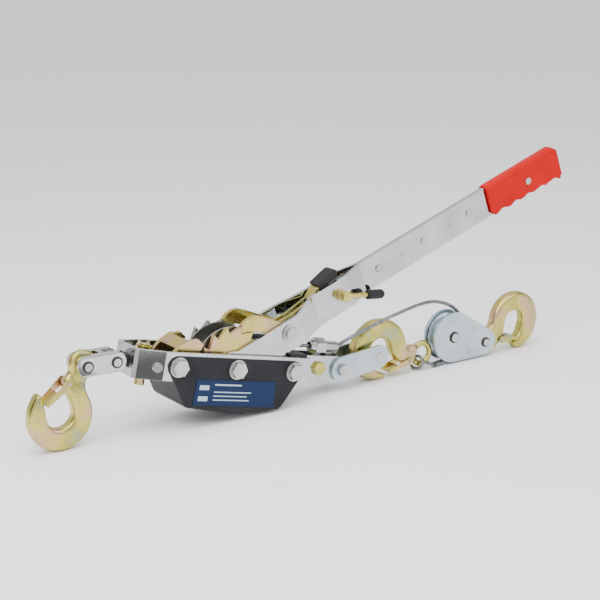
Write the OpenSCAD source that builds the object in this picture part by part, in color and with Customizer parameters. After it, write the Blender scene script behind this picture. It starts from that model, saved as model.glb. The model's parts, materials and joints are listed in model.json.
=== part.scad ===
/* [Frame] */
// Pitch of the winch frame, nose up, as it stands on its front hook and tail
frame_pitch = 12.2; // [10:0.1:14]
// Height of the drum axle above the surface it stands on
axle_h = 67.5; // [66:0.5:80]
// Length of the straight straps behind the drum axle
strap_rear = 113; // [110:1:130]
// Distance from the drum axle forward to the outside of the nose
strap_front = 141.5; // [140:0.5:150]
// Height of the strap
strap_h = 36; // [32:1:42]
// Thickness of the strap
strap_t = 5; // [3:0.5:5]
// Width over the outside of the straps
frame_w = 70; // [70:1:86]
// Width over the outside of the nose
nose_w = 53; // [48:1:56]

/* [Cover] */
// Sheet thickness of the folded cover
cover_t = 2; // [1:0.5:3]
// Depth of the cover below the axle at its lowest fold
cover_depth = 56.7; // [56:0.1:62]
// Thickness of the label plate
label_t = 0.8; // [0.5:0.1:1.5]

/* [Drum] */
// Radius of the ratchet wheels over the tooth tips
ratchet_r = 52; // [50:0.5:53]
// Depth of the ratchet teeth
tooth_depth = 9; // [6:0.5:10]
// Number of teeth on each ratchet wheel
tooth_count = 16; // [16:1:16]
// Radius of the drum core
core_r = 20; // [16:0.5:20]
// Radius of the drum flanges
flange_r = 50; // [40:0.5:51]
// Diameter of the wire rope
rope_d = 5; // [4:0.5:5]

/* [Lever] */
// Angle of the resting lever above the straps
lever_angle = 31.8; // [30:0.1:34]
// Length of the lever from the drum axle to the end of the grip
lever_len = 610; // [560:1:740]
// Height of the lever's outer plates
lever_h = 43; // [36:1:46]
// Thickness of each lever plate
lever_t = 4; // [3:0.5:4]
// Length of the grip
grip_len = 141; // [120:1:170]
// Width of the grip
grip_w = 18; // [14:1:26]

/* [Hooks and block] */
// Thickness of the hooks' bowls
hook_t = 18; // [14:1:18]
// Thickness of the hooks' eyes
hook_eye_t = 12; // [8:0.5:12]
// Radius of the sheave over its rims
sheave_r = 32.5; // [30.5:0.5:33]
// Radius of the block cheeks round the sheave axle
cheek_r = 36; // [35:0.5:38]
// Thickness of each block cheek
cheek_t = 3.5; // [2.5:0.5:4]

/* [Fasteners] */
// Diameter of the drum axle
axle_d = 16; // [12:0.5:18]
// Diameter of the cover bolts and of the drive pawl's pivot bolt
bolt_d = 12; // [8:0.5:12]
// Width of the big hexagon heads over their corners
hex_w = 22; // [18:1:24]
// Diameter of the coupler and block pins
pin_d = 10; // [8:0.5:11]
// Diameter of the vertical toggle pin
toggle_d = 13; // [10:0.5:14]

/* [Hidden] */
$fn = 64;

// Clearances
run_gap = 0.1;      // radial clearance of a turning fit
body_gap = 0.5;     // side clearance between parts that move past each other

// Frame, in frame coordinates: X along the straps, Z across them, axle at the origin
model_mid_x = 156.9;               // from the axle to the middle of the whole winch
strap_in = frame_w / 2 - strap_t;  // half width between the straps
cover_in = frame_w / 2;            // inside of the cover's sides
cover_out = cover_in + cover_t;
half_h = strap_h / 2;
taper_rear = -105;
taper_front = -strap_front + strap_t;
front_bolt_x = -86;
rear_bolt_x = 88.4;
head_h = 6;
washer_t = 1.2;
toggle_x = -116;
slot_half = 13.5;
slot_h = 15.5;
lug_t = 4;

// Front coupler, from the link pin at its own origin
link_pin_x = -160;
link_pin_z = -1.5;
coupler_pitch = 10.9;
coupler_pins = 38.5;
coupler_r = 12.5;
coupler_half = 16;
link_half = 6;

// Front hook, world directions, from the middle of its bowl
front_eye = [33.4, 54.8];
front_pin_world = [link_pin_world(0) - coupler_pins * cos(coupler_pitch - frame_pitch),
                   link_pin_world(1) - coupler_pins * sin(coupler_pitch - frame_pitch)];
eye_r = 19;

// Drum, across the width
drum_half = 13;
flange_t = 2;
ratchet_in = 18.5;
ratchet_out = 24.5;
root_r = ratchet_r - tooth_depth;
tooth_lead = 2.5;          // the driven face leans back by this many degrees
tooth_phase = 85.8;        // one tooth tip's angle above the straps
rope_r = rope_d / 2;
wrap_r = core_r + rope_d - 0.3;    // outside of the inner layer of rope
run_z = wrap_r + 0.3 + rope_r;     // height of the straight run of rope

// Lever, in lever coordinates: X along the lever, Z across it
lever_in = ratchet_out + 1;
lever_out = lever_in + lever_t;
mid_in = 10.5;             // half gap of the lever's middle part
pivot_x = 91.4;
control_x = 190;
rivet_x = [264.4, 347.6, 432.6];
lever_low = -22;
lever_top = 22;
step_one = [110, 145];
step_two = [205, 235];
grip_start = lever_len - grip_len;

// Tail
tail_in = 12;
tail_t = 4;
tail_out = tail_in + tail_t;
bracket_bolt_x = 142;
link_bolt_x = 180.5;
link_bolt_z = 1.7;
guide_x = [133, 155, 177];
guide_r = 8;
guide_gap = 2;             // round the rope in the guide and its nut
stop_x = [79.5, 106];
stop_top = 22.6;
link_len = 62;
link_rise = 6.1;
link_in = tail_out + body_gap;
link_t = 4;

// Middle hook and block, world directions from the axle
mid_bowl = [251, -29];
mid_ring = [329, -45];
ring_r = 15;
ring_t = 10;
block_axle = [379.4, -28];
block_pin = [439, -45];
cheek_in = 8.5;
cheek_out = cheek_in + cheek_t;
tail_cheek_r = 19;
groove_r = 28;             // radius of the rope's middle in the sheave
rear_bowl = [500, -26];
eye_loop = [321.5, 0, -57.2];
loop_normal = [-0.78, -0.42, 0.46];
loop_r = 9;

// Route of the free rope from the guide to the ferrule, world directions from the axle
route = [
    [163, 0, -7], [172, 0, -8.4], [180, -1, -8.4], [190, -4, -4], [203, -9, 3.2],
    [224, -13, 11], [252, -14, 19], [286, -12, 25],
    [318, -7, 28], [344, -2, 27], [366, 0, 22], [385, 0, 13], [399, 0, 0], [406, 0, -14],
    [408.5, 0, -28], [406, 0, -41], [400, 0, -48.6], [392, 0, -54.4], [379, -1, -60], [365, -4, -63.2]
];

function link_pin_world(i) = i == 0
    ? link_pin_x * cos(frame_pitch) + link_pin_z * sin(frame_pitch)
    : -link_pin_x * sin(frame_pitch) + link_pin_z * cos(frame_pitch);

// ---------- placing and simple solids ----------

module in_world() translate([-model_mid_x, 0, axle_h]) children();

module in_frame() in_world() rotate([0, frame_pitch, 0]) children();

module in_lever() in_frame() rotate([0, -lever_angle, 0]) children();

module in_coupler()
    in_frame() translate([link_pin_x, 0, link_pin_z]) rotate([0, -coupler_pitch, 0]) children();

module at(p) translate([p[0], 0, p[1]]) children();

// An outline in X and Z, made solid from y0 to y1
module slab(y0, y1) translate([0, y1, 0]) rotate([90, 0, 0]) linear_extrude(y1 - y0) children();

module ybar(r, y0, y1) translate([0, y1, 0]) rotate([90, 0, 0]) cylinder(r = r, h = y1 - y0);

module xbar(r, x0, x1) translate([x0, 0, 0]) rotate([0, 90, 0]) cylinder(r = r, h = x1 - x0);

module hex_head(y, out, w = hex_w, h = head_h)
    translate([0, out > 0 ? y + h : y, 0]) rotate([90, 0, 0]) cylinder(d = w, h = h, $fn = 6);

module both_sides() {
    children();
    mirror([0, 1, 0]) children();
}

module through_bolt(d, y) {
    ybar(d / 2, -y, y);
    hex_head(y, 1);
    hex_head(-y, -1);
}

// ---------- frame ----------

module plan(front, half_nose, rear, half) {
    polygon([
        [rear, half], [taper_rear, half], [taper_front, half_nose], [front + 3, half_nose - 0.5],
        [front, half_nose - 5], [front, -half_nose + 5], [front + 3, -half_nose + 0.5],
        [taper_front, -half_nose], [taper_rear, -half], [rear, -half]
    ]);
}

module strap_frame() color("silver") in_frame() difference() {
    translate([0, 0, -half_h]) linear_extrude(strap_h) difference() {
        plan(-strap_front, nose_w / 2, strap_rear, frame_w / 2);
        plan(-strap_front + strap_t, nose_w / 2 - strap_t, strap_rear + 1, strap_in);
    }
    at([front_bolt_x, 0]) ybar(bolt_d / 2 + run_gap, -frame_w, frame_w);
    at([rear_bolt_x, 0]) ybar(bolt_d / 2 + run_gap, -frame_w, frame_w);
    ybar(axle_d / 2 + run_gap, -frame_w, frame_w);
    translate([-strap_front - 1, -slot_half, -slot_h / 2]) cube([strap_t + 2, 2 * slot_half, slot_h]);
}

taper_angle = atan2(frame_w / 2 - nose_w / 2, taper_rear - taper_front);

module taper_screws() color("lightgray") in_frame() both_sides()
    translate([taper_rear, -frame_w / 2, -2]) rotate([0, 0, -taper_angle])
        translate([-9, 0, 0]) {
            ybar(6, -2.5, 0);
            ybar(3.5, -4, -2);
        }

cover_side = [
    [front_bolt_x, 13.5], [rear_bolt_x, 13.5], [100, -6.9], [77, -45.8], [72, -50],
    [2, -cover_depth], [-66, -50.3], [-70.5, -47], [-98.8, -4.2]
];
cover_well = [
    [-87.3, -half_h], [-68, -46.2], [-65, -48.4], [2, -cover_depth + cover_t], [71, -48],
    [75.2, -44.6], [91.5, -half_h]
];

module cover() color([0.06, 0.06, 0.07]) in_frame() difference() {
    union() {
        slab(-cover_out, cover_out) polygon(cover_side);
        at([front_bolt_x, 0]) ybar(13.5, -cover_out, cover_out);
        at([rear_bolt_x, 0]) ybar(13.5, -cover_out, cover_out);
    }
    slab(-cover_in, cover_in) polygon(cover_well);
    slab(-cover_in, cover_in) translate([-150, -half_h]) square([300, 60]);
    at([front_bolt_x, 0]) ybar(bolt_d / 2 + run_gap, -frame_w, frame_w);
    at([rear_bolt_x, 0]) ybar(bolt_d / 2 + run_gap, -frame_w, frame_w);
    ybar(axle_d / 2 + run_gap, -frame_w, frame_w);
}

module at2(p) translate(p) children();

module label_plate() color([0.05, 0.16, 0.36]) in_frame() slab(-cover_out - label_t, -cover_out)
    polygon([[-58, -46.5], [64, -47.5], [61.5, -14], [-57, -14]]);

head_y = cover_out + washer_t;

module front_bolt() color("gainsboro") in_frame() at([front_bolt_x, 0]) through_bolt(bolt_d, head_y);

module rear_bolt() color("gainsboro") in_frame() at([rear_bolt_x, 0]) through_bolt(bolt_d, head_y);

module drum_axle() color("gainsboro") in_frame() through_bolt(axle_d, head_y);

module washer(x, d) at([x, 0]) difference() {
    ybar(12.5, cover_out, head_y);
    ybar(d / 2 + run_gap, 0, head_y + 1);
}

module bolt_washers() color("silver") in_frame() both_sides() {
    washer(front_bolt_x, bolt_d);
    washer(0, axle_d);
    washer(rear_bolt_x, bolt_d);
}

// ---------- front link, coupler and hook ----------

module nose_lugs() color("silver") in_frame() difference() {
    for (z = [slot_h / 2, -slot_h / 2 - lug_t])
        translate([0, 0, z]) linear_extrude(lug_t)
            polygon([
                [-strap_front + strap_t, 16], [toggle_x + 11, 12], [toggle_x + 11, -12],
                [-strap_front + strap_t, -16]
            ]);
    translate([toggle_x, 0, -half_h]) cylinder(d = toggle_d + 2 * run_gap, h = strap_h);
}

module toggle_pin() color([0.80, 0.72, 0.42]) in_frame() translate([toggle_x, 0, 0]) {
    translate([0, 0, -31]) cylinder(d = toggle_d, h = 51);
    translate([0, 0, slot_h / 2 + lug_t]) cylinder(d = toggle_d + 5, h = 6);
}

module front_link() color("gray") in_frame() difference() {
    union() {
        translate([link_pin_x, -link_half, -7]) cube([toggle_x - link_pin_x - 6, 2 * link_half, 14]);
        translate([toggle_x, 0, -7]) cylinder(r = 11.5, h = 14);
        at([link_pin_x, link_pin_z]) ybar(10, -link_half, link_half);
    }
    translate([toggle_x, 0, -half_h]) cylinder(d = toggle_d + 2 * run_gap, h = strap_h);
    at([link_pin_x, link_pin_z]) ybar(pin_d / 2 + run_gap, -20, 20);
}

module front_coupler() color("silver") in_coupler() difference() {
    intersection() {
        union() {
            ybar(coupler_r, -coupler_half, coupler_half);
            at([-coupler_pins, 0]) ybar(coupler_r, -coupler_half, coupler_half);
            translate([-coupler_pins, -coupler_half, -coupler_r])
                cube([coupler_pins, 2 * coupler_half, 2 * coupler_r]);
        }
        xbar(19, -coupler_pins - 20, 20);
    }
    translate([-12.5, -link_half - body_gap, -20]) cube([40, 2 * (link_half + body_gap), 40]);
    translate([-coupler_pins - 20, -hook_eye_t / 2 - body_gap, -20])
        cube([40, hook_eye_t + 2 * body_gap, 40]);
    ybar(pin_d / 2 + run_gap, -20, 20);
    at([-coupler_pins, 0]) ybar(pin_d / 2 + run_gap, -20, 20);
}

module coupler_link_pin() color("lightgray") in_coupler() ybar(pin_d / 2, -18, 18);

module coupler_hook_pin() color("lightgray") in_coupler()
    at([-coupler_pins, 0]) ybar(pin_d / 2, -18, 18);

module pin_ring(y, r = pin_d / 2) difference() {
    ybar(r + 2.2, y, y + 1.2);
    ybar(r, y - 1, y + 3);
}

module coupler_rings() color([0.1, 0.1, 0.1]) in_coupler() both_sides() {
    pin_ring(coupler_half);
    at([-coupler_pins, 0]) pin_ring(coupler_half);
}

// The bowl of a hook: a ring thicker at the bottom, cut by what the throat needs
module bowl(outer_r, outer_off, inner_r, inner_off) difference() {
    at2(outer_off) circle(outer_r);
    at2(inner_off) circle(inner_r);
}

module front_outline() {
    difference() {
        bowl(42, [1, -4], 18, [0, 0]);
        polygon([[-60, 8], [-17, 4], [15, 10], [30, 60], [-60, 60]]);
    }
    polygon([[-40.9, 2], [-37.8, 14], [-32, 24], [-26.5, 31], [-23, 29.5], [-20.5, 18], [-17.5, 4]]);
    polygon([[42.8, 0], [38, 14], [35, 24], [36, 36], [16, 48], [6, 41], [6, 31], [12, 18], [17.8, 2]]);
}

// A forged hook: a thick bowl and a thinner neck and eye round a pin hole
module hook(eye, hole_r, latch_at) difference() {
    union() {
        slab(-hook_t / 2, hook_t / 2) difference() {
            children();
            at2(eye) circle(eye_r + 6);
        }
        slab(-hook_eye_t / 2, hook_eye_t / 2) {
            children();
            at2(eye) circle(eye_r);
        }
    }
    at(eye) ybar(hole_r, -20, 20);
    at(latch_at) ybar(latch_pin_r + run_gap, -20, 20);
}

latch_pin_r = 2;
latch_t = 1.5;
latch_gap = 0.4;           // between a latch's cheeks and the hook
latch_web = 16;            // from the latch pin to the start of the web that joins its cheeks

// A folded sheet latch from its pin to the tip of the hook, lying between two cheeks
module latch(from, to, thick = hook_t) {
    len = norm(to - from);
    at(from) rotate([0, -atan2(to[1] - from[1], to[0] - from[0]), 0]) difference() {
        union() {
            both_sides() slab(thick / 2 + latch_gap, thick / 2 + latch_gap + latch_t) {
                circle(5);
                polygon([[0, -5], [len, -1.5], [len, 2.5], [0, 5]]);
            }
            translate([latch_web, -thick / 2 - 1, 1]) cube([len - latch_web, thick + 2, latch_t]);
        }
        ybar(latch_pin_r + run_gap, -20, 20);
    }
}

module latch_pin(from, thick = hook_t) at(from) ybar(latch_pin_r, -thick / 2 - 3, thick / 2 + 3);

front_bowl = front_pin_world - front_eye;
front_latch_at = [11, 37];

module front_hook() color([0.80, 0.72, 0.42]) in_world() at(front_bowl)
    hook(front_eye, pin_d / 2 + run_gap, front_latch_at) front_outline();

module front_latch() color([0.75, 0.70, 0.35]) in_world() at(front_bowl)
    latch(front_latch_at, [-19, 15]);

module front_latch_pin() color("gray") in_world() at(front_bowl) latch_pin(front_latch_at);

// ---------- drum ----------

module drum() color("silver") in_frame() difference() {
    union() {
        ybar(core_r, -ratchet_in, ratchet_in);
        both_sides() ybar(flange_r, drum_half, drum_half + flange_t);
    }
    ybar(axle_d / 2 + 2, -20, 20);
}

module drum_bushes() color([0.72, 0.53, 0.26]) in_frame() both_sides() difference() {
    ybar(axle_d / 2 + 2, 4, ratchet_out);
    ybar(axle_d / 2 + run_gap, 3, ratchet_out + 1);
}

module ratchet() difference() {
    slab(ratchet_in, ratchet_out) difference() {
        polygon([
            for (k = [0 : tooth_count - 1], side = [0, 1])
                let (a = tooth_phase + k * 360 / tooth_count - (side == 0 ? tooth_lead : 0))
                let (r = side == 0 ? root_r : ratchet_r)
                [r * cos(a), r * sin(a)]
        ]);
        circle(axle_d / 2 + 2);
    }
}

module near_ratchet() color([0.80, 0.78, 0.42]) in_frame() translate([0, -ratchet_in - ratchet_out, 0])
    ratchet();

module far_ratchet() color([0.55, 0.55, 0.53]) in_frame() ratchet();

module rope_layer(r_in, r_out, y0, y1) difference() {
    union() {
        ybar(r_out - 1, y0, y1);
        for (y = [y0 + rope_r : rope_d : y1 - rope_r + 0.1])
            translate([0, y, 0]) rotate([90, 0, 0]) rotate_extrude() translate([r_out - rope_r, 0])
                circle(rope_r - 0.02, $fn = 24);
    }
    ybar(r_in, y0 - 1, y1 + 1);
}

module rope_turns() color("darkgray") in_frame() union() {
    rope_layer(core_r, wrap_r, -12.6, 12.6);
    rope_layer(core_r + 1, wrap_r + rope_d, -12.9, -2.9);
}

module rope_run() color("darkgray") in_frame() translate([0, 0, run_z]) xbar(rope_r, 0, guide_x[1] + 5);

// ---------- pawls ----------

module holding_pawl() color([0.66, 0.62, 0.34]) in_frame() difference() {
    union() {
        both_sides() slab(ratchet_in, ratchet_out) {
            at2([front_bolt_x, 0]) circle(11);
            polygon([
                [-94, 7], [-84, 20], [-70, 31], [-56, 33], [-47.5, 27], [-50, 19.5], [-58, 16],
                [-66, 14], [-76, 4]
            ]);
        }
        slab(-ratchet_out, ratchet_out) polygon([[-84, 20], [-70, 31], [-67, 27], [-80, 16]]);
    }
    at([front_bolt_x, 0]) ybar(bolt_d / 2 + run_gap, -30, 30);
}

module pawl_spring() color([0.5, 0.48, 0.34]) in_frame() at([front_bolt_x, 0]) difference() {
    union() {
        ybar(8.4, -12, 12);
        for (y = [-11 : 2.2 : 11.1])
            translate([0, y, 0]) rotate([90, 0, 0]) rotate_extrude() translate([8.6, 0])
                circle(1, $fn = 16);
    }
    ybar(bolt_d / 2 + 0.3, -20, 20);
}

claw = [
    [27.5, 34.2], [31.6, 43.2], [38, 46], [48, 47], [56, 44.5], [68, 35], [84, 20], [96, 11],
    [102, -4], [93, -11], [82, -8], [70, 9], [57, 20], [44.9, 27.8], [39.9, 30.4], [35.5, 32.2],
    [31.1, 33.6]
];
rail = [[84, 4], [112, 4], [150, 10], [163, 20], [161, 24], [147, 15.5], [110, 10.5], [90, 12]];

module drive_pawl() color([0.74, 0.72, 0.38]) in_lever() difference() {
    union() {
        both_sides() slab(ratchet_in, ratchet_out) polygon(claw);
        slab(-ratchet_out, ratchet_out) polygon([[60, 33], [76, 24], [73, 20], [58, 29.5]]);
        both_sides() slab(4, 8) polygon(rail);
        both_sides() slab(4, ratchet_out) polygon([[84, 4], [90, 12], [97, 9.5], [95, 4]]);
        slab(-8, 8) polygon([[147, 9.5], [163, 20], [172, 23.5], [170, 28], [160, 24.5], [146, 15]]);
    }
    at([pivot_x, 0]) ybar(bolt_d / 2 + run_gap, -30, 30);
}

module pawl_cap() color([0.05, 0.05, 0.05]) in_lever() difference() {
    slab(-9.5, 9.5) polygon([[164, 19.2], [194, 25], [198, 30], [195, 35.5], [190, 36.5], [162, 30]]);
    slab(-8, 8) polygon([[150, 10], [163, 20], [172, 23.5], [170, 28], [160, 24.5], [146, 20]]);
}

module drive_pivot_bolt() color("gainsboro") in_lever() at([pivot_x, 0]) {
    ybar(bolt_d / 2, -lever_out, lever_out);
    both_sides() {
        ybar(12.5, lever_out, lever_out + 2.5);
        ybar(9, lever_out + 2, lever_out + 6);
    }
}

// ---------- lever ----------

module lever_plate() difference() {
    union() {
        slab(lever_in, lever_out) {
            circle(21.5);
            polygon([
                [0, -21.5], [68, lever_low], [step_one[0], lever_low], [step_one[0], 17], [0, 17]
            ]);
        }
        hull() {
            translate([step_one[0], lever_in, lever_low]) cube([0.01, lever_t, 17 - lever_low]);
            translate([step_one[1], mid_in, lever_low]) cube([0.01, lever_t, lever_top - lever_low]);
        }
        slab(mid_in, mid_in + lever_t)
            polygon([
                [step_one[1], lever_low], [step_two[0], lever_low], [step_two[0], lever_top],
                [step_one[1], lever_top]
            ]);
        hull() {
            translate([step_two[0], mid_in, lever_low]) cube([0.01, lever_t, lever_top - lever_low]);
            translate([step_two[1], 0.02, -lever_h / 2]) cube([0.01, lever_t, lever_h]);
        }
        slab(0.02, lever_t + 0.02)
            polygon([
                [step_two[1], -lever_h / 2], [grip_start + 60, -lever_h / 2],
                [lever_len - 10, -lever_h / 2 + 6], [lever_len - 10, lever_h / 2 - 6],
                [grip_start + 60, lever_h / 2 - 6], [grip_start + 20, lever_h / 2],
                [step_two[1], lever_h / 2]
            ]);
    }
    ybar(axle_d / 2 + run_gap, 0, 40);
    at([pivot_x, 0]) ybar(bolt_d / 2, 0, 40);
    at([control_x, 0]) ybar(5 + run_gap, 0, 40);
    for (x = rivet_x) at([x, 0]) ybar(3, -1, 20);
    at([lever_len - 66, -2]) ybar(2.5, -1, 20);
}

module lever_near_plate() color("silver") in_lever() mirror([0, 1, 0]) lever_plate();

module lever_far_plate() color("silver") in_lever() lever_plate();

module lever_rivets() color("gainsboro") in_lever() for (x = rivet_x) at([x, 0]) {
    ybar(3, -lever_t - 1, lever_t + 1);
    both_sides() ybar(5.5, lever_t + 0.02, lever_t + 2);
}

function scallops(n) = [
    for (i = [n : -1 : 0], j = [0 : 5])
        let (step = (grip_len - 14) / (n + 1), t = j / 6)
        [grip_start + 8 + (i + 1 - t) * step, -27 - 0.022 * (i - 4) * 30 + 5.5 * sin(180 * t)]
];

module grip_outline() polygon(concat(
    [[grip_start, -17], [grip_start, 22], [grip_start + 2, 24], [lever_len - 8, 24], [lever_len - 1, 17],
     [lever_len, -26], [lever_len - 3, -29]],
    scallops(4), [[grip_start + 6, -23]]));

module grip() color([0.85, 0.06, 0.08]) in_lever() difference() {
    union() {
        slab(-grip_w / 2, grip_w / 2) intersection() {
            grip_outline();
            at2([grip_start, -22.5]) square([grip_len, 44]);
        }
        slab(-grip_w / 2 + 3, grip_w / 2 - 3) grip_outline();
    }
    slab(-lever_t - 0.02, lever_t + 0.02) polygon([
        [grip_start - 1, -lever_h / 2], [grip_start + 60, -lever_h / 2],
        [lever_len - 10, -lever_h / 2 + 6], [lever_len - 10, lever_h / 2 - 6],
        [grip_start + 60, lever_h / 2 - 6], [grip_start + 20, lever_h / 2], [grip_start - 1, lever_h / 2]
    ]);
    at([lever_len - 66, -2]) ybar(2.5, -20, 20);
}

module grip_screws() color("lightgray") in_lever() at([lever_len - 66, -2]) {
    ybar(2.5, -grip_w / 2, grip_w / 2);
    both_sides() ybar(5, grip_w / 2, grip_w / 2 + 1.8);
}

control_y = mid_in + lever_t;
arm_angle = -25;

module control_lever() color([0.75, 0.73, 0.62]) in_lever() at([control_x, 0]) {
    ybar(5, -control_y - 0.4, control_y + 3);
    both_sides() ybar(8, control_y + 0.4, control_y + 2.4);
    ybar(7, -control_y - 8, -control_y - 2);
    hex_head(-control_y - 8, -1, 15, 5);
    translate([0, -control_y - 5, 0]) rotate([0, -arm_angle, 0]) xbar(3.5, 0, 52);
}

module control_cap() color([0.04, 0.04, 0.04]) in_lever() at([control_x, 0])
    translate([0, -control_y - 5, 0]) rotate([0, -arm_angle, 0]) difference() {
        union() {
            xbar(6.5, 38, 60);
            translate([60, 0, 0]) sphere(6.5);
        }
        xbar(3.5, 30, 52);
    }

// ---------- tail ----------

module lever_stop() color([0.07, 0.07, 0.07]) in_frame() difference() {
    translate([stop_x[0], -frame_w / 2, half_h])
        cube([stop_x[1] - stop_x[0], frame_w, stop_top - half_h]);
    translate([stop_x[0] + 8, -9, half_h - 1]) cube([40, 18, 10]);
}

module tail_plates() color("silver") in_frame() difference() {
    both_sides() slab(tail_in, tail_out) {
        translate([76, -half_h]) square([link_bolt_x - 76, strap_h]);
        at2([link_bolt_x, 0]) circle(half_h);
    }
    at([rear_bolt_x, 0]) ybar(bolt_d / 2, -30, 30);
    at([bracket_bolt_x, 1.5]) ybar(5, -30, 30);
    at([link_bolt_x, link_bolt_z]) ybar(pin_d / 2, -30, 30);
}

module bracket_bolt() color([0.80, 0.76, 0.60]) in_frame() at([bracket_bolt_x, 1.5]) {
    ybar(5, -tail_out, tail_out);
    ybar(8, -tail_in, tail_in);
    hex_head(tail_out, 1, 19, 5);
    hex_head(-tail_out, -1, 19, 5);
}

module rope_guide() color("lightgray") in_frame() difference() {
    union() {
        translate([0, 0, run_z]) xbar(guide_r, guide_x[1], guide_x[2]);
        translate([guide_x[1] + 3, -tail_in, half_h - 8]) cube([14, 2 * tail_in, 5]);
        translate([guide_x[1] + 3, -5, half_h - 5]) cube([14, 10, 9]);
    }
    translate([0, 0, run_z + 1]) xbar(rope_r + guide_gap, guide_x[0] - 3, guide_x[2] + 13);
}

module guide_nut() color([0.25, 0.27, 0.29]) in_frame() difference() {
    union() {
        translate([guide_x[0] + 6, 0, run_z]) rotate([0, 90, 0]) cylinder(r = 12, h = 16, $fn = 6);
        translate([guide_x[0], 0, run_z]) rotate([0, 90, 0]) cylinder(r1 = 7, r2 = 10, h = 6.5);
    }
    translate([0, 0, run_z + 1]) xbar(rope_r + guide_gap, guide_x[0] - 3, guide_x[2] + 13);
}

module in_link() in_frame() at([link_bolt_x, link_bolt_z])
    rotate([0, -frame_pitch - link_rise, 0]) children();

module link_plates() color([0.72, 0.77, 0.80]) in_link() difference() {
    both_sides() slab(link_in, link_in + link_t) {
        circle(17);
        at2([link_len, 0]) circle(16);
        polygon([[0, 17], [link_len, 16], [link_len, -16], [0, -17]]);
    }
    ybar(pin_d / 2 + run_gap, -40, 40);
    at([link_len, 0]) ybar(6, -40, 40);
}

module link_bolt() color("gainsboro") in_frame() at([link_bolt_x, link_bolt_z]) {
    ybar(pin_d / 2, -link_in - link_t - 0.6, link_in + link_t + 0.6);
    hex_head(link_in + link_t + 0.6, 1, 17, 5);
    hex_head(-link_in - link_t - 0.6, -1, 17, 5);
}

module link_cross_pin() color("lightgray") in_link() at([link_len, 0])
    ybar(6, -link_in - link_t - 0.8, link_in + link_t + 0.8);

// ---------- middle hook ----------

module mid_outline() {
    difference() {
        bowl(46, [0, 0], 19.5, [0, 0]);
        polygon([[-60, -12], [-19, -4], [19, -4], [50, -3], [50, -60], [-60, -60]]);
    }
    polygon([
        [-44.5, -11.6], [-41, -20], [-33, -29], [-22, -35.5], [-8, -38.4], [9, -38.4], [11.5, -36],
        [9, -32], [-4, -26.5], [-14, -18], [-19.2, -3.5]
    ]);
    polygon([[46, -4], [54, -3], [60, 0], [66, -3], [60, -25], [50, -27], [40, -24],
        [30, -16], [19.2, -3.5]]);
}

mid_latch_at = [50, -21];

module mid_hook() color([0.82, 0.70, 0.46]) in_world() difference() {
    union() {
        at(mid_bowl) slab(-hook_t / 2, hook_t / 2) mid_outline();
        at(mid_ring) rotate([90, 0, 0]) rotate_extrude() translate([ring_r, 0]) circle(ring_t / 2);
    }
    at(mid_ring) ybar(ring_r - ring_t / 2, -20, 20);
    at(mid_bowl) at(mid_latch_at) ybar(latch_pin_r + run_gap, -20, 20);
}

module mid_latch() color([0.75, 0.72, 0.35]) in_world() at(mid_bowl) latch(mid_latch_at, [14, -28]);

module mid_latch_pin() color("gray") in_world() at(mid_bowl) latch_pin(mid_latch_at);

// ---------- rope ----------

function unit(v) = v / norm(v);

function spline(p, i, t) =
    let (n = len(p) - 1)
    let (a = p[max(i - 1, 0)], b = p[i], c = p[min(i + 1, n)], d = p[min(i + 2, n)])
    0.5 * ((2 * b) + (c - a) * t + (2 * a - 5 * b + 4 * c - d) * t * t
        + (3 * b - a - 3 * c + d) * t * t * t);

function sampled(p, steps) = concat(
    [for (i = [0 : len(p) - 2], s = [0 : steps - 1]) spline(p, i, s / steps)], [p[len(p) - 1]]);

module tube(line, r, sides) {
    n = len(line);
    rings = [
        for (i = [0 : n - 1])
            let (dir = unit(line[min(i + 1, n - 1)] - line[max(i - 1, 0)]))
            let (u = unit(cross([0, 1, 0], dir)), v = cross(dir, u))
            for (k = [0 : sides - 1])
                line[i] + r * (cos(360 * k / sides) * u + sin(360 * k / sides) * v)
    ];
    walls = [
        for (i = [0 : n - 2], k = [0 : sides - 1])
            let (a = i * sides + k, b = i * sides + (k + 1) % sides)
            for (f = [[a, b, a + sides], [b, b + sides, a + sides]]) f
    ];
    ends = [[for (k = [sides - 1 : -1 : 0]) k], [for (k = [0 : sides - 1]) (n - 1) * sides + k]];
    polyhedron(rings, concat(walls, ends));
}

module rope() color("darkgray") in_world() tube(sampled(route, 3), rope_r, 10);

// A round bar between two points
module bar(a, b, r) {
    d = b - a;
    translate(a) rotate([0, acos(d[2] / norm(d)), atan2(d[1], d[0])]) cylinder(r = r, h = norm(d));
}

ferrule_ends = [[346, -8, -63.5], [364, -4, -63.5]];

module ferrule() color([0.62, 0.62, 0.60]) in_world() bar(ferrule_ends[0], ferrule_ends[1], 4);

module rope_eye() color("darkgray") in_world() {
    translate(eye_loop) rotate([0, acos(loop_normal[2]), atan2(loop_normal[1], loop_normal[0])])
        rotate_extrude() translate([loop_r, 0]) circle(2.2, $fn = 24);
    bar([326, -8.5, -55], [336, -10.5, -59.5], 2.2);
    bar([335.5, -10.4, -59.3], [344.8, -8.3, -63], 2.2);
}

// ---------- pulley block ----------

module cheek() difference() {
    slab(cheek_in, cheek_out) cheek_outline();
    at(block_axle) ybar(pin_d / 2 + 1, 0, 20);
    at(block_pin) ybar(pin_d / 2, 0, 20);
    for (p = block_rivet_at) at(p) ybar(3, 0, 20);
}

cheek_len = norm(block_pin - block_axle);
cheek_slope = atan2(block_pin[1] - block_axle[1], block_pin[0] - block_axle[0]);
cheek_turn = acos((cheek_r - tail_cheek_r) / cheek_len);

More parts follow.
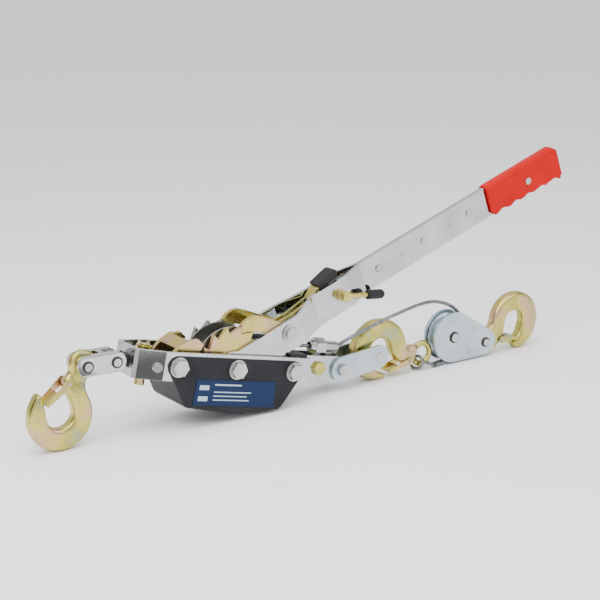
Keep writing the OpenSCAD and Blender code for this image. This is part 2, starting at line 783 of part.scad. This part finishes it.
module cheek_outline() {
    at2(block_axle) circle(cheek_r);
    at2(block_pin) circle(tail_cheek_r);
    polygon([
        block_axle + cheek_r * [cos(cheek_slope + cheek_turn), sin(cheek_slope + cheek_turn)],
        block_axle + cheek_r * [cos(cheek_slope - cheek_turn), sin(cheek_slope - cheek_turn)],
        block_pin + tail_cheek_r * [cos(cheek_slope - cheek_turn), sin(cheek_slope - cheek_turn)],
        block_pin + tail_cheek_r * [cos(cheek_slope + cheek_turn), sin(cheek_slope + cheek_turn)]
    ]);
}

module near_cheek() color([0.70, 0.76, 0.80]) in_world() mirror([0, 1, 0]) cheek();

module far_cheek() color([0.70, 0.76, 0.80]) in_world() cheek();

module sheave() color([0.68, 0.74, 0.78]) in_world() at(block_axle) rotate([90, 0, 0]) rotate_extrude()
    polygon([
        [pin_d / 2 + 1 + run_gap, -7.5], [sheave_r, -7.5], [sheave_r, -6], [groove_r - 1.8, -2.8],
        [groove_r - rope_r - 0.3, 0], [groove_r - 1.8, 2.8], [sheave_r, 6], [sheave_r, 7.5],
        [pin_d / 2 + 1 + run_gap, 7.5]
    ]);

module sheave_axle() color("lightgray") in_world() at(block_axle)
    ybar(pin_d / 2 + 1, -cheek_out - 3, cheek_out + 3);

module block_hook_pin() color("lightgray") in_world() at(block_pin)
    ybar(pin_d / 2, -cheek_out - 3, cheek_out + 3);

block_rivet_at = [[418.5, -20.5], [410.5, -56]];

module block_rivets() color("lightgray") in_world() for (p = block_rivet_at) at(p) {
    ybar(3, -cheek_out, cheek_out);
    both_sides() ybar(4, cheek_out, cheek_out + 1);
}

module block_rings() color([0.1, 0.1, 0.1]) in_world() both_sides() {
    at(block_axle) pin_ring(cheek_out, pin_d / 2 + 1);
    at(block_pin) pin_ring(cheek_out);
}

// ---------- rear hook ----------

rear_eye = block_pin - rear_bowl;
rear_latch_at = [-27, -22];

module rear_outline() {
    difference() {
        bowl(43.5, [2, 1], 17.5, [-1, 0]);
        polygon([[-60, -2], [-18, -3], [16, -3], [60, -8], [60, -60], [-60, -60]]);
    }
    polygon([
        [45.3, 0], [42, -18], [36, -28], [26, -36.5], [12, -41], [6, -41.5], [2, -39], [-2, -32],
        [2, -28], [10, -20], [16.6, 0]
    ]);
    polygon([[-18.4, -2.4], [-21, -14], [-24, -24], [-40, -36], [-66, -14], [-46, 0], [-41.2, -2]]);
}

module rear_hook() color([0.82, 0.74, 0.45]) in_world() at(rear_bowl) difference() {
    union() {
        slab(-hook_t / 2, hook_t / 2) difference() {
            rear_outline();
            at2(rear_eye) circle(24);
        }
        slab(-rear_eye_t / 2, rear_eye_t / 2) {
            rear_outline();
            at2(rear_eye) circle(15);
        }
    }
    at(rear_eye) ybar(pin_d / 2 + run_gap, -20, 20);
    at(rear_latch_at) ybar(latch_pin_r + run_gap, -20, 20);
}

rear_eye_t = 2 * cheek_in - 2 * body_gap;
rear_t = max(hook_t, rear_eye_t);  // the thicker part of the rear hook, which its latch straddles

module rear_latch() color([0.75, 0.72, 0.35]) in_world() at(rear_bowl) latch(rear_latch_at, [3, -24], rear_t);

module rear_latch_pin() color("gray") in_world() at(rear_bowl) latch_pin(rear_latch_at, rear_t);

strap_frame();
taper_screws();
cover();
label_plate();
front_bolt();
rear_bolt();
drum_axle();
bolt_washers();
nose_lugs();
toggle_pin();
front_link();
front_coupler();
coupler_hook_pin();
coupler_link_pin();
coupler_rings();
front_hook();
front_latch();
front_latch_pin();
drum();
drum_bushes();
near_ratchet();
far_ratchet();
rope_turns();
rope_run();
holding_pawl();
pawl_spring();
drive_pawl();
pawl_cap();
drive_pivot_bolt();
lever_near_plate();
lever_far_plate();
lever_rivets();
grip();
grip_screws();
control_lever();
control_cap();
lever_stop();
tail_plates();
bracket_bolt();
rope_guide();
guide_nut();
link_plates();
link_bolt();
link_cross_pin();
mid_hook();
mid_latch();
mid_latch_pin();
rope_eye();
ferrule();
rope();
near_cheek();
far_cheek();
sheave();
sheave_axle();
block_hook_pin();
block_rivets();
block_rings();
rear_hook();
rear_latch();
rear_latch_pin();
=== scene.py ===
import json
import math

import bpy
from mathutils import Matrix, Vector


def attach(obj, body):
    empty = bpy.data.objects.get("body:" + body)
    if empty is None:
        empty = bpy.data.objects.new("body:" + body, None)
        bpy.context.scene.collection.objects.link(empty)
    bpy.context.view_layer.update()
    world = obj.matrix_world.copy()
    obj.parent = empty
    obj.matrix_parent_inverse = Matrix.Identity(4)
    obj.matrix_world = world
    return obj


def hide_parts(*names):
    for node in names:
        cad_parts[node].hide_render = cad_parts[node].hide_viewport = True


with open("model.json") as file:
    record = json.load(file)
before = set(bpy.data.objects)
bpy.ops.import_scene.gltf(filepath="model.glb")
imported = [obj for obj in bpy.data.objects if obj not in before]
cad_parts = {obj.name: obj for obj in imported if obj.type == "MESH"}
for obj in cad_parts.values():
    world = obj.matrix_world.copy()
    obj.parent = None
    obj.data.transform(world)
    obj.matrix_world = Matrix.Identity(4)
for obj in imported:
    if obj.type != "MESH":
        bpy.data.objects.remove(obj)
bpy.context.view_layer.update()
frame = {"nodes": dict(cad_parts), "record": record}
nodes = frame["nodes"]
print("frame loaded")

place = {"middle": 0.1569, "axle": 0.0675, "pitch": math.radians(12.2)}


def fromAxle(point):
    x, y, z = point
    return Vector((x / 1000 - place["middle"], y / 1000, z / 1000 + place["axle"]))


def fromStraps(point):
    x, y, z = point
    c, s = math.cos(place["pitch"]), math.sin(place["pitch"])
    return fromAxle((x * c + z * s, y, -x * s + z * c))


# Materials

def newMaterial(name):
    material = bpy.data.materials.new(name)
    material.use_nodes = True
    tree = material.node_tree
    return material, tree, tree.nodes["Principled BSDF"]


def noise(tree, scale, detail):
    where = tree.nodes.new("ShaderNodeTexCoord")
    mapping = tree.nodes.new("ShaderNodeMapping")
    texture = tree.nodes.new("ShaderNodeTexNoise")
    texture.inputs["Scale"].default_value = scale
    texture.inputs["Detail"].default_value = detail
    tree.links.new(where.outputs["Object"], mapping.inputs["Vector"])
    tree.links.new(mapping.outputs["Vector"], texture.inputs["Vector"])
    return texture


def ramp(tree, source, stops):
    made = tree.nodes.new("ShaderNodeValToRGB")
    elements = made.color_ramp.elements
    while len(elements) < len(stops):
        elements.new(0.5)
    for element, (position, colour) in zip(elements, stops):
        element.position = position
        element.color = (*colour, 1)
    tree.links.new(source, made.inputs["Fac"])
    return made


def spread(tree, source, low, high):
    made = tree.nodes.new("ShaderNodeMapRange")
    made.inputs["To Min"].default_value = low
    made.inputs["To Max"].default_value = high
    tree.links.new(source, made.inputs["Value"])
    return made.outputs["Result"]


surface = {"patch": 30, "patchDetail": 3, "grain": 300, "grainDetail": 4, "bump": 0.05, "bumpDepth": 0.0006}


def finishMaterial(name, look):
    material, tree, shader = newMaterial(name)
    shader.inputs["Metallic"].default_value = look.get("metal", 1)
    shader.inputs["Specular IOR Level"].default_value = look.get("shine", 0.5)
    colourNoise = noise(tree, look.get("patch", surface["patch"]), surface["patchDetail"])
    colours = ramp(tree, colourNoise.outputs["Fac"], look["colours"])
    tree.links.new(colours.outputs["Color"], shader.inputs["Base Color"])
    grain = noise(tree, look.get("grain", surface["grain"]), surface["grainDetail"])
    rough = spread(tree, grain.outputs["Fac"], *look["rough"])
    tree.links.new(rough, shader.inputs["Roughness"])
    bump = tree.nodes.new("ShaderNodeBump")
    bump.inputs["Strength"].default_value = look.get("bump", surface["bump"])
    bump.inputs["Distance"].default_value = surface["bumpDepth"]
    tree.links.new(grain.outputs["Fac"], bump.inputs["Height"])
    if look.get("edge"):
        edge = tree.nodes.new("ShaderNodeBevel")
        edge.samples = 4
        edge.inputs["Radius"].default_value = look["edge"]
        tree.links.new(edge.outputs["Normal"], bump.inputs["Normal"])
    tree.links.new(bump.outputs["Normal"], shader.inputs["Normal"])
    return material


looks = {
    "chrome": {
        "colours": [(0.3, (0.44, 0.45, 0.47)), (0.7, (0.56, 0.57, 0.58))],
        "rough": (0.05, 0.12), "edge": 0.0008, "bump": 0.02,
    },
    "bright_bolts": {
        "colours": [(0.3, (0.42, 0.42, 0.41)), (0.7, (0.56, 0.56, 0.53))],
        "rough": (0.20, 0.30), "edge": 0.0007, "bump": 0.015,
    },
    "yellow_zinc": {
        "colours": [
            (0.26, (0.30, 0.34, 0.26)), (0.40, (0.46, 0.42, 0.10)), (0.52, (0.60, 0.49, 0.15)),
            (0.64, (0.58, 0.38, 0.24)), (0.76, (0.34, 0.40, 0.13)),
        ],
        "patch": 22, "rough": (0.22, 0.32), "edge": 0.0008, "bump": 0.02,
    },
    "grey_zinc": {
        "colours": [(0.3, (0.24, 0.24, 0.22)), (0.7, (0.38, 0.37, 0.33))],
        "rough": (0.28, 0.42), "edge": 0.0006,
    },
    "pale_zinc": {
        "colours": [(0.3, (0.40, 0.49, 0.55)), (0.7, (0.54, 0.61, 0.65))],
        "rough": (0.26, 0.38), "edge": 0.0008,
    },
    "black_paint": {
        "colours": [(0.3, (0.010, 0.011, 0.013)), (0.7, (0.020, 0.021, 0.024))],
        "metal": 0, "rough": (0.36, 0.48), "edge": 0.001, "shine": 0.16,
    },
    "dark_steel": {
        "colours": [(0.3, (0.03, 0.03, 0.03)), (0.7, (0.07, 0.07, 0.07))],
        "rough": (0.35, 0.5),
    },
    "bronze": {
        "colours": [(0.3, (0.50, 0.34, 0.14)), (0.7, (0.64, 0.45, 0.20))],
        "rough": (0.3, 0.45),
    },
    "wire_rope": {
        "colours": [(0.3, (0.14, 0.145, 0.15)), (0.7, (0.28, 0.29, 0.30))],
        "patch": 160, "rough": (0.30, 0.46), "bump": 0.2, "grain": 900,
    },
    "black_cap": {
        "colours": [(0.3, (0.010, 0.010, 0.010)), (0.7, (0.022, 0.022, 0.022))],
        "metal": 0, "rough": (0.48, 0.6), "shine": 0.2,
    },
    "red_grip": {
        "colours": [(0.3, (0.46, 0.0, 0.0)), (0.7, (0.54, 0.001, 0.001))],
        "metal": 0, "rough": (0.34, 0.46), "bump": 0.08, "shine": 0.12,
    },
}
materials = {name: finishMaterial(name, look) for name, look in looks.items()}


def band(tree, value, low, high):
    above = tree.nodes.new("ShaderNodeMath")
    above.operation = "GREATER_THAN"
    above.inputs[1].default_value = low
    below = tree.nodes.new("ShaderNodeMath")
    below.operation = "LESS_THAN"
    below.inputs[1].default_value = high
    both = tree.nodes.new("ShaderNodeMath")
    both.operation = "MULTIPLY"
    tree.links.new(value, above.inputs[0])
    tree.links.new(value, below.inputs[0])
    tree.links.new(above.outputs[0], both.inputs[0])
    tree.links.new(below.outputs[0], both.inputs[1])
    return both.outputs[0]


label = {
    "blue": (0.003, 0.016, 0.062),
    "pale": (0.42, 0.50, 0.60),
    "bars": [(-30, 10, -21, -19), (-30, 26, -30, -28.6), (-30, 20, -35, -33.6), (-30, 24, -40, -38.6)],
    "blocks": [(-52, -38, -27, -21), (-52, -38, -41, -35)],
}


def labelMaterial():
    material, tree, shader = newMaterial("label_blue")
    where = tree.nodes.new("ShaderNodeTexCoord")
    mapping = tree.nodes.new("ShaderNodeMapping")
    mapping.vector_type = "TEXTURE"
    mapping.inputs["Location"].default_value = fromStraps((0, 0, 0))
    mapping.inputs["Rotation"].default_value = (0, place["pitch"], 0)
    split = tree.nodes.new("ShaderNodeSeparateXYZ")
    tree.links.new(where.outputs["Object"], mapping.inputs["Vector"])
    tree.links.new(mapping.outputs["Vector"], split.inputs["Vector"])
    marks = None
    for x0, x1, z0, z1 in label["bars"] + label["blocks"]:
        across = band(tree, split.outputs["X"], x0 / 1000, x1 / 1000)
        up = band(tree, split.outputs["Z"], z0 / 1000, z1 / 1000)
        joined = tree.nodes.new("ShaderNodeMath")
        joined.operation = "MULTIPLY"
        tree.links.new(across, joined.inputs[0])
        tree.links.new(up, joined.inputs[1])
        if marks is not None:
            added = tree.nodes.new("ShaderNodeMath")
            added.operation = "MAXIMUM"
            tree.links.new(marks, added.inputs[0])
            tree.links.new(joined.outputs[0], added.inputs[1])
            joined = added
        marks = joined.outputs[0]
    colours = ramp(tree, marks, [(0, label["blue"]), (1, label["pale"])])
    tree.links.new(colours.outputs["Color"], shader.inputs["Base Color"])
    shader.inputs["Roughness"].default_value = 0.4
    shader.inputs["Specular IOR Level"].default_value = 0.2
    return material


materials["label_blue"] = labelMaterial()
slotOf = {part["node"]: part["material_slot"] for part in frame["record"]["subparts"]}
for name, obj in nodes.items():
    obj.data.materials.clear()
    obj.data.materials.append(materials[slotOf[name]])
bodyOf = {
    node: body
    for body, members in frame["record"]["behaviour"]["bodies"].items()
    for node in members
}
print("materials made")


# Pieces that take the place of plain CAD nodes

def finished(name, mesh, node, *others):
    obj = bpy.data.objects.new(name, mesh)
    bpy.context.scene.collection.objects.link(obj)
    mesh.materials.clear()
    mesh.materials.append(materials[slotOf[node]])
    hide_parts(node, *others)
    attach(obj, bodyOf[node])
    return obj


def asMesh(source, name):
    bpy.context.view_layer.update()
    graph = bpy.context.evaluated_depsgraph_get()
    mesh = bpy.data.meshes.new_from_object(source.evaluated_get(graph))
    mesh.name = name
    data = source.data
    bpy.data.objects.remove(source)
    if data.users == 0:
        (bpy.data.curves if isinstance(data, bpy.types.Curve) else bpy.data.meshes).remove(data)
    return mesh


rounded = {
    "frontHookForging": {"node": "front_hook", "voxel": 0.0011, "passes": 160},
    "midHookForging": {"node": "mid_hook", "voxel": 0.0011, "passes": 110},
    "rearHookForging": {"node": "rear_hook", "voxel": 0.0011, "passes": 160},
    "gripMoulding": {"node": "grip", "voxel": 0.0010, "passes": 8},
    "controlCapMoulding": {"node": "control_cap", "voxel": 0.0005, "passes": 6},
    "pawlCapMoulding": {"node": "pawl_cap", "voxel": 0.0006, "passes": 6},
}


def roundedCopy(name, values):
    copy = bpy.data.objects.new(name + "Copy", nodes[values["node"]].data.copy())
    bpy.context.scene.collection.objects.link(copy)
    remesh = copy.modifiers.new("remesh", "REMESH")
    remesh.mode = "VOXEL"
    remesh.voxel_size = values["voxel"]
    remesh.use_smooth_shade = True
    smooth = copy.modifiers.new("smooth", "SMOOTH")
    smooth.factor = 0.5
    smooth.iterations = values["passes"]
    return finished(name, asMesh(copy, name), values["node"])


for name, values in rounded.items():
    roundedCopy(name, values)
print("forgings and mouldings made")


# Rope: one swept strand pattern, turned along its length

rope = {"diameter": 0.005, "groove": 0.16, "strands": 6, "lay": 0.034, "step": 0.0016, "sides": 24}


def ropeGroup():
    group = bpy.data.node_groups.new("strandedRope", "GeometryNodeTree")
    face = group.interface
    face.new_socket("Geometry", in_out="INPUT", socket_type="NodeSocketGeometry")
    sockets = {}
    for socketName, kind in [
        ("Radius", "NodeSocketFloat"), ("Groove", "NodeSocketFloat"), ("Strands", "NodeSocketFloat"),
        ("Lay length", "NodeSocketFloat"), ("Step", "NodeSocketFloat"), ("Material", "NodeSocketMaterial"),
    ]:
        sockets[socketName] = face.new_socket(socketName, in_out="INPUT", socket_type=kind).identifier
    face.new_socket("Geometry", in_out="OUTPUT", socket_type="NodeSocketGeometry")
    new, link = group.nodes.new, group.links.new
    given, out = new("NodeGroupInput"), new("NodeGroupOutput")

    def maths(operation, first, second=None):
        made = new("ShaderNodeMath")
        made.operation = operation
        for socket, value in zip(made.inputs, (first, second)):
            if isinstance(value, (int, float)):
                socket.default_value = value
            elif value is not None:
                link(value, socket)
        return made.outputs[0]

    circle = new("GeometryNodeCurvePrimitiveCircle")
    circle.inputs["Resolution"].default_value = rope["sides"]
    circle.inputs["Radius"].default_value = 1
    split = new("ShaderNodeSeparateXYZ")
    link(new("GeometryNodeInputPosition").outputs[0], split.inputs[0])
    angle = maths("ARCTAN2", split.outputs["Y"], split.outputs["X"])
    half = maths("MULTIPLY", given.outputs["Strands"], 0.5)
    lobe = maths("ABSOLUTE", maths("COSINE", maths("MULTIPLY", angle, half)))
    inner = maths("SUBTRACT", 1, given.outputs["Groove"])
    size = maths("MULTIPLY", given.outputs["Radius"],
                 maths("ADD", inner, maths("MULTIPLY", lobe, given.outputs["Groove"])))
    scaled = new("ShaderNodeVectorMath")
    scaled.operation = "SCALE"
    link(new("GeometryNodeInputPosition").outputs[0], scaled.inputs[0])
    link(size, scaled.inputs["Scale"])
    profile = new("GeometryNodeSetPosition")
    link(circle.outputs["Curve"], profile.inputs["Geometry"])
    link(scaled.outputs[0], profile.inputs["Position"])

    resample = new("GeometryNodeResampleCurve")
    for socket in resample.inputs:
        if socket.name == "Mode":
            socket.default_value = "Length"
    if hasattr(resample, "mode"):
        resample.mode = "LENGTH"
    link(given.outputs["Geometry"], resample.inputs["Curve"])
    link(given.outputs["Step"], resample.inputs["Length"])
    along = new("GeometryNodeSplineParameter")
    turns = maths("DIVIDE", along.outputs["Length"], given.outputs["Lay length"])
    tilt = new("GeometryNodeSetCurveTilt")
    link(resample.outputs[0], tilt.inputs["Curve"])
    link(maths("MULTIPLY", turns, 2 * math.pi), tilt.inputs["Tilt"])
    sweep = new("GeometryNodeCurveToMesh")
    sweep.inputs["Fill Caps"].default_value = True
    link(tilt.outputs[0], sweep.inputs["Curve"])
    link(profile.outputs[0], sweep.inputs["Profile Curve"])
    real = new("GeometryNodeRealizeInstances")
    link(sweep.outputs[0], real.inputs[0])
    setMaterial = new("GeometryNodeSetMaterial")
    link(real.outputs[0], setMaterial.inputs["Geometry"])
    link(given.outputs["Material"], setMaterial.inputs["Material"])
    link(setMaterial.outputs[0], out.inputs[0])
    return group, sockets


strandedRope, ropeSockets = ropeGroup()


def ropePiece(name, lines, node):
    curve = bpy.data.curves.new(name, "CURVE")
    curve.dimensions = "3D"
    curve.twist_mode = "MINIMUM"
    for points in lines:
        spline = curve.splines.new("POLY")
        spline.points.add(len(points) - 1)
        for target, point in zip(spline.points, points):
            target.co = (*point, 1)
    source = bpy.data.objects.new(name + "Line", curve)
    bpy.context.scene.collection.objects.link(source)
    modifier = source.modifiers.new("rope", "NODES")
    modifier.node_group = strandedRope
    for socketName, value in [
        ("Radius", rope["diameter"] / 2), ("Groove", rope["groove"]), ("Strands", float(rope["strands"])),
        ("Lay length", rope["lay"]), ("Step", rope["step"]), ("Material", materials["wire_rope"]),
    ]:
        modifier[ropeSockets[socketName]] = value
    made = finished(name, asMesh(source, name), node)
    made.data.shade_smooth()
    return made


def curved(points, steps):
    last = len(points) - 1
    made = []
    for i in range(last):
        a, b = points[max(i - 1, 0)], points[i]
        c, d = points[i + 1], points[min(i + 2, last)]
        for s in range(steps):
            t = s / steps
            made.append(0.5 * (
                2 * b + (c - a) * t + (2 * a - 5 * b + 4 * c - d) * t * t
                + (3 * b - a - 3 * c + d) * t ** 3
            ))
    return made + [points[-1]]


freeRope = {
    "route": [
        (163, 0, -7), (172, 0, -8.4), (180, -1, -8.4), (190, -4, -4), (203, -9, 3.2), (224, -13, 11),
        (252, -14, 19), (286, -12, 25), (318, -7, 28), (344, -2, 27), (366, 0, 22), (385, 0, 13),
        (399, 0, 0), (406, 0, -14), (408.5, 0, -28), (406, 0, -41), (400, 0, -48.6), (392, 0, -54.4),
        (379, -1, -60), (365, -4, -63.2),
    ],
}
ropeLine = curved([fromAxle(point) for point in freeRope["route"]], 5)
ropeObj = ropePiece("freeRope", [ropeLine], "rope")

runRope = {"from": (0, 0, 27.5), "to": (160, 0, 27.5)}
ropePiece("runRope", [[fromStraps(runRope["from"]), fromStraps(runRope["to"])]], "rope_run")

drumRope = {
    "inner": 22.4, "side": 10.1, "turns": 4.6,
    "outer": 27.0, "outerSide": (-10.4, -5.4), "outerTurns": 1.5, "pointsPerTurn": 40,
}


def coil(radius, y0, y1, turns):
    count = int(turns * drumRope["pointsPerTurn"])
    return [
        fromStraps((
            radius * math.sin(2 * math.pi * turns * i / count), y0 + (y1 - y0) * i / count,
            radius * math.cos(2 * math.pi * turns * i / count),
        ))
        for i in range(count + 1)
    ]


ropePiece(
    "drumRope",
    [
        coil(drumRope["inner"], -drumRope["side"], drumRope["side"], drumRope["turns"]),
        coil(drumRope["outer"], *drumRope["outerSide"], drumRope["outerTurns"]),
    ],
    "rope_turns",
)
print("ropes made")


dimples = {
    "along": [306, 395], "radius": 3.4, "height": 0.7, "out": 4.05, "lever": math.radians(31.8),
    "sides": 24, "rings": [(1, 0), (0.75, 0.6), (0.4, 0.95)],
}


def fromLever(point):
    x, y, z = point
    c, s = math.cos(dimples["lever"]), math.sin(dimples["lever"])
    return fromStraps((x * c - z * s, y, x * s + z * c))


def dimplePair(name, node, side):
    vertices, faces = [], []
    sides, rings = dimples["sides"], dimples["rings"]
    for x in dimples["along"]:
        start = len(vertices)
        for share, rise in rings:
            for i in range(sides):
                turn = 2 * math.pi * i / sides
                vertices.append(fromLever((
                    x + dimples["radius"] * share * math.cos(turn),
                    side * (dimples["out"] + dimples["height"] * rise),
                    dimples["radius"] * share * math.sin(turn),
                )))
        for ring in range(len(rings) - 1):
            for i in range(sides):
                a, b = start + ring * sides + i, start + ring * sides + (i + 1) % sides
                quad = (a, b, b + sides, a + sides)
                faces.append(quad if side > 0 else quad[::-1])
        cap = [start + (len(rings) - 1) * sides + i for i in range(sides)]
        foot = [start + i for i in range(sides)]
        faces.append(cap if side > 0 else cap[::-1])
        faces.append(foot[::-1] if side > 0 else foot)
    mesh = bpy.data.meshes.new(name)
    mesh.from_pydata(vertices, [], faces)
    mesh.materials.append(materials["chrome"])
    mesh.shade_smooth()
    obj = bpy.data.objects.new(name, mesh)
    bpy.context.scene.collection.objects.link(obj)
    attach(obj, bodyOf[node])


dimplePair("nearDimples", "lever_near_plate", -1)
dimplePair("farDimples", "lever_far_plate", 1)
print("dimples made")

# Stage, camera and light

camera = {"azimuth": -35.4, "elevation": 14.8, "distance": 1.9067, "lens": 88, "target": (-0.0353, 0, 0.1307)}


def aimed(obj, target, back, distance):
    obj.location = Vector(target) + back * distance
    obj.rotation_euler = (-back).to_track_quat("-Z", "Y").to_euler()


def direction(azimuth, elevation):
    a, e = math.radians(azimuth), math.radians(elevation)
    return Vector((math.sin(a) * math.cos(e), -math.cos(a) * math.cos(e), math.sin(e)))


cameraObj = bpy.data.objects.new("camera", bpy.data.cameras.new("camera"))
bpy.context.scene.collection.objects.link(cameraObj)
cameraObj.data.lens = camera["lens"]
cameraObj.data.sensor_width = 36
aimed(cameraObj, camera["target"], direction(camera["azimuth"], camera["elevation"]), camera["distance"])
bpy.context.scene.camera = cameraObj

bpy.ops.mesh.primitive_plane_add(size=80)
floor = bpy.context.object
floor.name = "floor"
floorMaterial, _, floorShader = newMaterial("floor")
floorShader.inputs["Base Color"].default_value = (0.98, 0.98, 0.98, 1)
floorShader.inputs["Roughness"].default_value = 0.9
floor.data.materials.append(floorMaterial)

world = bpy.data.worlds.new("world")
world.use_nodes = True
world.node_tree.nodes["Background"].inputs["Color"].default_value = (0.95, 0.96, 0.97, 1)
world.node_tree.nodes["Background"].inputs["Strength"].default_value = 1.15
bpy.context.scene.world = world

lights = {
    "key": {"from": (-60, 50), "distance": 1.7, "size": 1.3, "power": 26},
    "fill": {"from": (30, 28), "distance": 1.9, "size": 1.2, "power": 10},
    "top": {"from": (0, 88), "distance": 1.8, "size": 1.6, "power": 16},
}
for name, values in lights.items():
    lamp = bpy.data.lights.new(name, "AREA")
    lamp.size = values["size"]
    lamp.energy = values["power"]
    lampObj = bpy.data.objects.new(name, lamp)
    bpy.context.scene.collection.objects.link(lampObj)
    aimed(lampObj, (0, 0, 0.1), direction(*values["from"]), values["distance"])

cards = {
    "leftCard": {"from": (-100, 14), "distance": 1.5, "size": (0.9, 1.1)},
    "frontCard": {"from": (24, 9), "distance": 2.4, "size": (1.5, 0.5)},
    "rightCard": {"from": (80, 30), "distance": 1.8, "size": (0.8, 0.7)},
    "noseCard": {"from": (-32, 0.2), "distance": 0.52, "size": (0.12, 0.42), "flat": True},
}
cardMaterial, _, cardShader = newMaterial("card")
cardShader.inputs["Base Color"].default_value = (0.02, 0.02, 0.02, 1)
for name, values in cards.items():
    bpy.ops.mesh.primitive_plane_add(size=1)
    card = bpy.context.object
    card.name = name
    card.scale = (*values["size"], 1)
    aimed(card, (0, 0, 0.1), direction(*values["from"]), values["distance"])
    if values.get("flat"):
        card.rotation_euler = (0, 0, 0)
        card.location.z = 0.002
    card.data.materials.append(cardMaterial)
    card.visible_camera = False
    card.visible_shadow = False
    card.visible_diffuse = False
print("stage ready")
